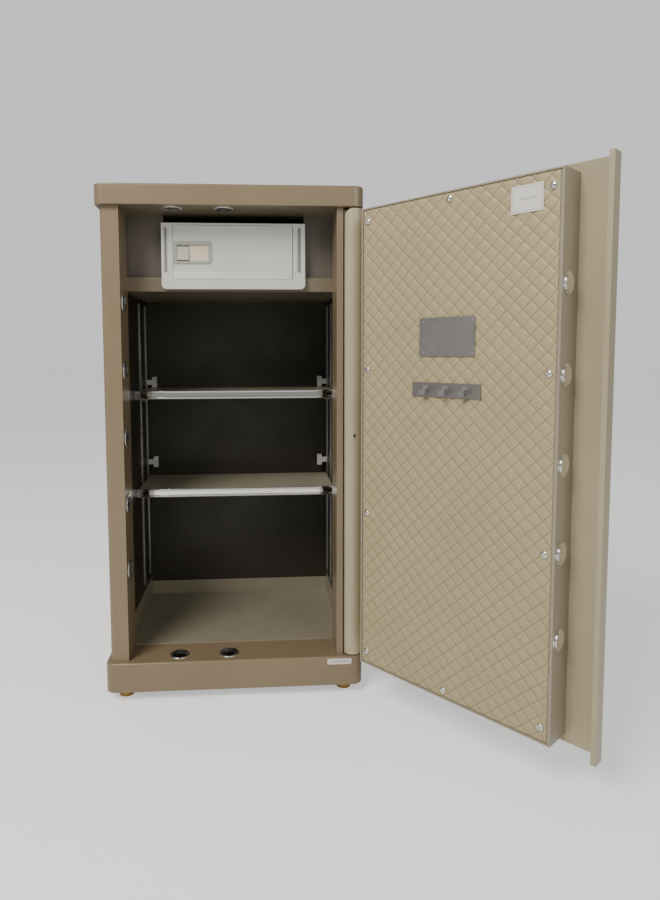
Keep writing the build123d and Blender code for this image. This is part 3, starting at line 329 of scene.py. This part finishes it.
paper = label_stock("label_paper", (0.72, 0.70, 0.66))
print_grey = label_stock("label_print", (0.30, 0.29, 0.28))
quilting = leatherette(
    "quilted_leathercloth", CREAM, PITCH_U * MM, PITCH_Z * MM,
    (SEAM_ORIGIN[0] * MM, SEAM_ORIGIN[1] * MM),
)

MATERIAL_OF = {
    cabinet_paint: ("top_cap", "base_plinth", "outer_shell", "left_column", "right_column"),
    door_paint: ("door_plate",),
    pan_paint: ("door_pan",),
    bead_highlight_paint: ("hinge_cover", "hinge_end_plugs"),
    interior_shade_paint: ("partition", "ceiling_plate"),
    cavity_shade_paint: ("inner_shell", "locker_housing"),
    bulkhead_shadow_paint: ("side_bulkheads",),
    shelf_paint: ("lower_shelf", "upper_shelf"),
    pan_floor_paint: ("floor_pan",),
    silver_paint: ("locker_bezel", "locker_leaf"),
    latch_paint: ("locker_latch_frame",),
    chrome: (
        "side_bolts", "top_bolts", "bottom_bolts", "bolt_collars", "liner_screws",
        "hinge_cover_screw", "handle", "key_hooks", "key_cover", "key_cylinder",
    ),
    ring_steel: ("socket_rings",),
    trim_chrome: ("lower_shelf_trim", "upper_shelf_trim"),
    badge_steel: ("badge_plate", "badge_rivets"),
    brushed: ("hook_rail",),
    plain_steel: (
        "bottom_plate", "crank_disc", "side_bolt_bar", "top_bolt_bar", "bottom_bolt_bar",
        "handle_spindle", "hinge_pins", "lock_case", "locker_hinge_pins", "locker_latch_bolt",
    ),
    zinc: ("shelf_rails", "shelf_pegs"),
    brass: ("feet",),
    bronze: ("pivot_washers",),
    white_plastic: ("shelf_clips",),
    black_plastic: ("lock_panel",),
    grey_strip: ("locker_side_strips",),
    button_plastic: ("locker_button",),
    slider_plastic: ("locker_slider",),
    keypad_glass: ("touch_keypad",),
    fill: ("fire_fill", "door_filler"),
    paper: ("serial_label", "notice_label"),
}
for material, nodes in MATERIAL_OF.items():
    for node in nodes:
        for material_slot in frame["nodes"][node].material_slots:
            material_slot.material = material

# ------------------------------------------------------------------ pieces


def add_piece(name, mesh_data, matrix, body, material, replaced=()):
    """Links a finished mesh as a piece that rides on a body."""
    piece = bpy.data.objects.new(name, mesh_data)
    bpy.context.scene.collection.objects.link(piece)
    piece.matrix_world = matrix
    mesh_data.materials.append(material)
    if replaced:
        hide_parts(*replaced)
    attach(piece, body)
    return piece


SCREW_COLUMNS = (72.9, 415.4)
SCREW_HEIGHTS = (120.0, 386.0, 653.0, 920.0)
MIDDLE_SCREWS = [(243.8, 110.0), (243.8, 931.5)]
SCREWS = [(u, z) for u in SCREW_COLUMNS for z in SCREW_HEIGHTS] + MIDDLE_SCREWS
SCREW_SEAT = 1.9
SEAM_SHARPNESS = 0.085
LIFT_SEED = 7
LIFT_RANGE = (0.86, 1.0)
LIFT_COUNT = 997
LINER_INSET = 0.4
STEPS_PER_PITCH = 14
SEAM_HEIGHT = 0.55
CROWN_HEIGHT = 2.5
EDGE_ROLL = 6.0
DIMPLE_R = 8.0


def quilt_height(u, z, liner, cell_lift):
    """Height of the padded face over its backing, in millimetres."""
    s = (u - SEAM_ORIGIN[0]) / PITCH_U + (z - SEAM_ORIGIN[1]) / PITCH_Z
    t = (u - SEAM_ORIGIN[0]) / PITCH_U - (z - SEAM_ORIGIN[1]) / PITCH_Z
    across = 1.0
    for value in (s, t):
        gap = abs(value - round(value))
        across *= 1.0 - math.exp(-gap / SEAM_SHARPNESS)
    lift = cell_lift[(math.floor(s) * 31 + math.floor(t) * 17) % len(cell_lift)]
    height = SEAM_HEIGHT + (CROWN_HEIGHT - SEAM_HEIGHT) * across * lift
    for screw_u, screw_z in SCREWS:
        reach = math.hypot(u - screw_u, z - screw_z)
        if reach < 4.0 * DIMPLE_R:
            height -= (height - SCREW_SEAT) * math.exp(-((reach / DIMPLE_R) ** 2))
    edge = min(u - liner[0], liner[1] - u, z - liner[2], liner[3] - z)
    if edge < EDGE_ROLL:
        height *= 0.35 + 0.65 * math.sqrt(max(0.0, 1.0 - (1.0 - edge / EDGE_ROLL) ** 2))
    return max(height, 0.2)


def quilted_liner():
    """The padded lining: a fine grid laid along the seams, closed over its backing."""
    low, high = (Vector(corner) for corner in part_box("door_liner"))
    z0 = low.z / MM + LINER_INSET
    z1 = high.z / MM - LINER_INSET
    u0, u1 = LINER_U
    liner = (u0, u1, z0, z1)
    rng = random.Random(LIFT_SEED)
    cell_lift = [rng.uniform(*LIFT_RANGE) for _ in range(LIFT_COUNT)]
    step_u = PITCH_U / STEPS_PER_PITCH
    step_z = PITCH_Z / STEPS_PER_PITCH

    def stations(first, last, step, origin):
        inner = []
        k = math.ceil((first - origin) / step + 0.3)
        while origin + k * step < last - 0.3 * step:
            inner.append(origin + k * step)
            k += 1
        return [first, *inner, last]

    us = stations(u0, u1, step_u, SEAM_ORIGIN[0])
    zs = stations(z0, z1, step_z, SEAM_ORIGIN[1])
    mesh = bpy.data.meshes.new("quilted_liner")
    bm = bmesh.new()
    grid = []
    for z in zs:
        heights = [quilt_height(u, z, liner, cell_lift) for u in us]
        grid.append([bm.verts.new((u * MM, z * MM, h * MM)) for u, h in zip(us, heights)])
    for row in range(len(zs) - 1):
        for col in range(len(us) - 1):
            quad = (grid[row][col], grid[row][col + 1], grid[row + 1][col + 1], grid[row + 1][col])
            bm.faces.new(quad)
    rim = grid[0][:-1] + [row[-1] for row in grid[:-1]]
    rim += grid[-1][:0:-1] + [row[0] for row in grid[:0:-1]]
    base = [bm.verts.new((v.co.x, v.co.y, 0.0)) for v in rim]
    for i, vert in enumerate(rim):
        j = (i + 1) % len(rim)
        bm.faces.new((rim[j], vert, base[i], base[j]))
    bm.faces.new(list(reversed(base)))
    bmesh.ops.recalc_face_normals(bm, faces=bm.faces)
    bm.to_mesh(mesh)
    bm.free()
    for polygon in mesh.polygons:
        polygon.use_smooth = polygon.loop_total == 4 and abs(polygon.normal.z) > 0.2
    piece = add_piece(
        "quilted_liner", mesh, door_matrix(LINER_BACK), "door", quilting, ("door_liner",),
    )
    return piece


LINER_U = (61.9, 425.1)
quilted_liner()

SCREW_R = 5.4
SCREW_DOME = 2.6
RECESS_REACH = 3.2
RECESS_HALF = 0.55


def screw_heads():
    """Domed lining screws with a cross recess."""
    mesh = bpy.data.meshes.new("lining_screws")
    bm = bmesh.new()
    rings = 22
    spokes = 64
    base_w = 0.35
    for index, (su, sz) in enumerate(SCREWS):
        turn = index * 0.7
        rows = []
        for ring in range(rings + 1):
            radius = SCREW_R * (ring / rings) ** 0.8
            row = []
            for spoke in range(spokes):
                angle = 2.0 * math.pi * spoke / spokes
                x = radius * math.cos(angle)
                y = radius * math.sin(angle)
                height = SCREW_DOME * math.sqrt(max(0.0, 1.0 - (radius / (SCREW_R * 1.04)) ** 2))
                a = x * math.cos(turn) + y * math.sin(turn)
                b = -x * math.sin(turn) + y * math.cos(turn)
                taper = max(0.0, 1.0 - max(abs(a), abs(b)) / RECESS_REACH)
                if min(abs(a), abs(b)) < RECESS_HALF + 0.35 * taper and taper > 0.0:
                    height -= 0.5 + 0.9 * taper
                row.append(bm.verts.new(((su + x) * MM, (sz + y) * MM, (base_w + height) * MM)))
                if ring == 0:
                    break
            rows.append(row)
        foot = []
        for spoke in range(spokes):
            angle = 2.0 * math.pi * spoke / spokes
            x = SCREW_R * math.cos(angle)
            y = SCREW_R * math.sin(angle)
            foot.append(bm.verts.new(((su + x) * MM, (sz + y) * MM, -0.4 * MM)))
        for spoke in range(spokes):
            after = (spoke + 1) % spokes
            bm.faces.new((rows[0][0], rows[1][spoke], rows[1][after]))
            for ring in range(1, rings):
                inner = rows[ring]
                outer = rows[ring + 1]
                bm.faces.new((inner[spoke], outer[spoke], outer[after], inner[after]))
            bm.faces.new((rows[-1][spoke], foot[spoke], foot[after], rows[-1][after]))
        bm.faces.new(list(reversed(foot)))
    bmesh.ops.recalc_face_normals(bm, faces=bm.faces)
    bm.to_mesh(mesh)
    bm.free()
    for polygon in mesh.polygons:
        polygon.use_smooth = polygon.loop_total < 5
    mesh.set_sharp_from_angle(angle=math.radians(38))
    matrix = door_matrix(PAN_FACE)
    return add_piece("lining_screws", mesh, matrix, "door", chrome, ("liner_screws",))


screw_heads()


def bars(name, rectangles, thick, matrix, body, material):
    """Thin raised bars, each (x0, x1, y0, y1) in millimetres."""
    mesh = bpy.data.meshes.new(name)
    bm = bmesh.new()
    for x0, x1, y0, y1 in rectangles:
        cube = bmesh.ops.create_cube(bm, size=1.0)["verts"]
        for vert in cube:
            vert.co.x = (x0 if vert.co.x < 0 else x1) * MM
            vert.co.y = (y0 if vert.co.y < 0 else y1) * MM
            vert.co.z = (0.0 if vert.co.z < 0 else thick) * MM
    bmesh.ops.bevel(bm, geom=bm.edges[:], offset=thick * 0.25 * MM, segments=1, affect="EDGES")
    bm.to_mesh(mesh)
    bm.free()
    return add_piece(name, mesh, matrix, body, material)


# Plain ruled border on the notice, and digits on the keypad.
NOTICE = (354.0, 398.8, 890.6, 925.4)
NOTICE_FACE = PAN_FACE - 0.7
rules = [
    (NOTICE[0], NOTICE[1], NOTICE[3] - 0.5, NOTICE[3]),
    (NOTICE[0], NOTICE[1], NOTICE[2], NOTICE[2] + 0.5),
    (NOTICE[0], NOTICE[0] + 0.5, NOTICE[2] + 0.6, NOTICE[3] - 0.6),
    (NOTICE[1] - 0.5, NOTICE[1], NOTICE[2] + 0.6, NOTICE[3] - 0.6),
]
bars("notice_rules", rules, 0.06, door_matrix(NOTICE_FACE), "door", print_grey)


KEY_PITCH_U = 26.0
KEY_PITCH_Z = 19.5
KEYPAD_FACE = 21.55
keypad_low, keypad_high = (Vector(corner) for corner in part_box("touch_keypad"))
KEYPAD_U = 265.0
KEYPAD_DIGIT_SIZE = 11.0
NOTICE_DIGIT_SIZE = 5.5
keypad_z = (keypad_low.z + keypad_high.z) / 2.0 / MM
GLYPHS = [("1", -1, 1.5), ("2", 0, 1.5), ("3", 1, 1.5), ("4", -1, 0.5), ("5", 0, 0.5), ("6", 1, 0.5),
          ("7", -1, -0.5), ("8", 0, -0.5), ("9", 1, -0.5), ("0", 0, -1.5)]
DIGIT_HALF_THICK = 0.05
DIGIT_RUN = "1234567890"


def digits(name, text, size_mm, matrix, body, material):
    """A short run of raised digits, centred on its place."""
    curve = bpy.data.curves.new(name, "FONT")
    curve.body = text
    curve.size = size_mm * MM
    curve.extrude = DIGIT_HALF_THICK * MM
    curve.align_x = "CENTER"
    curve.align_y = "CENTER"
    source = bpy.data.objects.new("digit_source", curve)
    mesh = bpy.data.meshes.new_from_object(source)
    mesh.name = name
    bpy.data.objects.remove(source)
    return add_piece(name, mesh, matrix, body, material)


outward_matrix = door_matrix(KEYPAD_FACE) @ Matrix.Rotation(math.pi, 4, "Y")
digit_plastic = plastic("keypad_digits", (0.55, 0.62, 0.68), 0.4)
for text, column, line in GLYPHS:
    across = -(KEYPAD_U - column * KEY_PITCH_U)
    place = Matrix.Translation((across * MM, (keypad_z + line * KEY_PITCH_Z) * MM, 0.0))
    name = "keypad_digit_" + text
    digits(name, text, KEYPAD_DIGIT_SIZE, outward_matrix @ place, "door", digit_plastic)

# Generic digit runs stand in for the printed notice and the serial label.
notice_centre = ((NOTICE[0] + NOTICE[1]) / 2.0, (NOTICE[2] + NOTICE[3]) / 2.0)
notice_place = Matrix.Translation((notice_centre[0] * MM, notice_centre[1] * MM, 0.0))
notice_matrix = door_matrix(NOTICE_FACE) @ notice_place
digits("notice_digits", DIGIT_RUN, NOTICE_DIGIT_SIZE, notice_matrix, "door", print_grey)
label_low, label_high = (Vector(corner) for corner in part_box("serial_label"))
label_x = (label_low.x + label_high.x) / 2.0
label_y = label_low.y - DIGIT_HALF_THICK * MM
label_z = (label_low.z + label_high.z) / 2.0
label_place = Matrix.Translation((label_x, label_y, label_z)) @ Matrix.Rotation(math.pi / 2.0, 4, "X")
label_size = min(0.6 * (label_high.z - label_low.z), (label_high.x - label_low.x) / 6.4) / MM
digits("serial_digits", DIGIT_RUN, label_size, label_place, "cabinet", print_grey)

# ------------------------------------------------------------------ floor, lights and camera

floor_mesh = bpy.data.meshes.new("floor")
bm = bmesh.new()
bmesh.ops.create_grid(bm, x_segments=1, y_segments=1, size=30.0)
bm.to_mesh(floor_mesh)
bm.free()
floor = bpy.data.objects.new("floor", floor_mesh)
bpy.context.scene.collection.objects.link(floor)
floor_material, floor_tree, floor_shader = new_material("pale_floor")
floor_shader.inputs["Roughness"].default_value = 0.9
floor_shader.inputs["Base Color"].default_value = (0.86, 0.86, 0.86, 1.0)
floor_path = floor_tree.nodes.new("ShaderNodeLightPath")
FLOOR_GLOW = 0.50
glow = ramp(floor_tree, floor_path.outputs["Is Camera Ray"], 0.0, 1.0, 0.0, FLOOR_GLOW)
floor_tree.links.new(glow, floor_shader.inputs["Emission Strength"])
floor_shader.inputs["Emission Color"].default_value = (1.0, 1.0, 1.0, 1.0)
floor_mesh.materials.append(floor_material)

world = bpy.data.worlds.new("studio")
bpy.context.scene.world = world
world.use_nodes = True
world_tree = world.node_tree
AMBIENT = 0.34
BACKDROP = 0.82
background = world_tree.nodes["Background"]
background.inputs["Color"].default_value = (1.0, 1.0, 1.0, 1.0)
light_path = world_tree.nodes.new("ShaderNodeLightPath")
seen = ramp(world_tree, light_path.outputs["Is Camera Ray"], 0.0, 1.0, AMBIENT, BACKDROP)
world_tree.links.new(seen, background.inputs["Strength"])


def softbox(name, place, target, size, watts, colour=(1.0, 1.0, 1.0)):
    """A square area light turned to its target."""
    data = bpy.data.lights.new(name, "AREA")
    data.size = size
    data.energy = watts
    data.color = colour
    lamp = bpy.data.objects.new(name, data)
    bpy.context.scene.collection.objects.link(lamp)
    lamp.location = place
    lamp.rotation_euler = (Vector(target) - Vector(place)).to_track_quat("-Z", "Y").to_euler()
    return lamp


softbox("key", (-1.4, -2.1, 2.7), (0.2, -0.2, 0.45), 1.3, 100.0, (1.0, 0.96, 0.89))
softbox("fill", (1.7, -2.8, 1.6), (0.2, -0.2, 0.5), 1.8, 22.0, (1.0, 0.97, 0.92))

IMAGE_W = 660.0
IMAGE_H = 900.0
FOCAL = 637.55
CENTRE_X = 298.75
CENTRE_Y = 400.94
SENSOR = 36.0
camera_data = bpy.data.cameras.new("camera")
camera_data.sensor_width = SENSOR
camera_data.lens = FOCAL * SENSOR / IMAGE_H
camera_data.shift_x = (IMAGE_W / 2.0 - CENTRE_X) / IMAGE_H
camera_data.shift_y = (CENTRE_Y - IMAGE_H / 2.0) / IMAGE_H
camera_data.clip_start = 0.01
camera = bpy.data.objects.new("camera", camera_data)
bpy.context.scene.collection.objects.link(camera)
YAW = 0.06516
PITCH = 0.07555
ROLL = -0.00388
CAMERA_PLACE = (0.04764, -1.42394, 0.68482)
turned = Matrix.Rotation(-YAW, 4, "Z")
turned = turned @ Matrix.Rotation(math.pi / 2.0 - PITCH, 4, "X") @ Matrix.Rotation(ROLL, 4, "Z")
camera.matrix_world = Matrix.Translation(CAMERA_PLACE) @ turned
bpy.context.scene.camera = camera
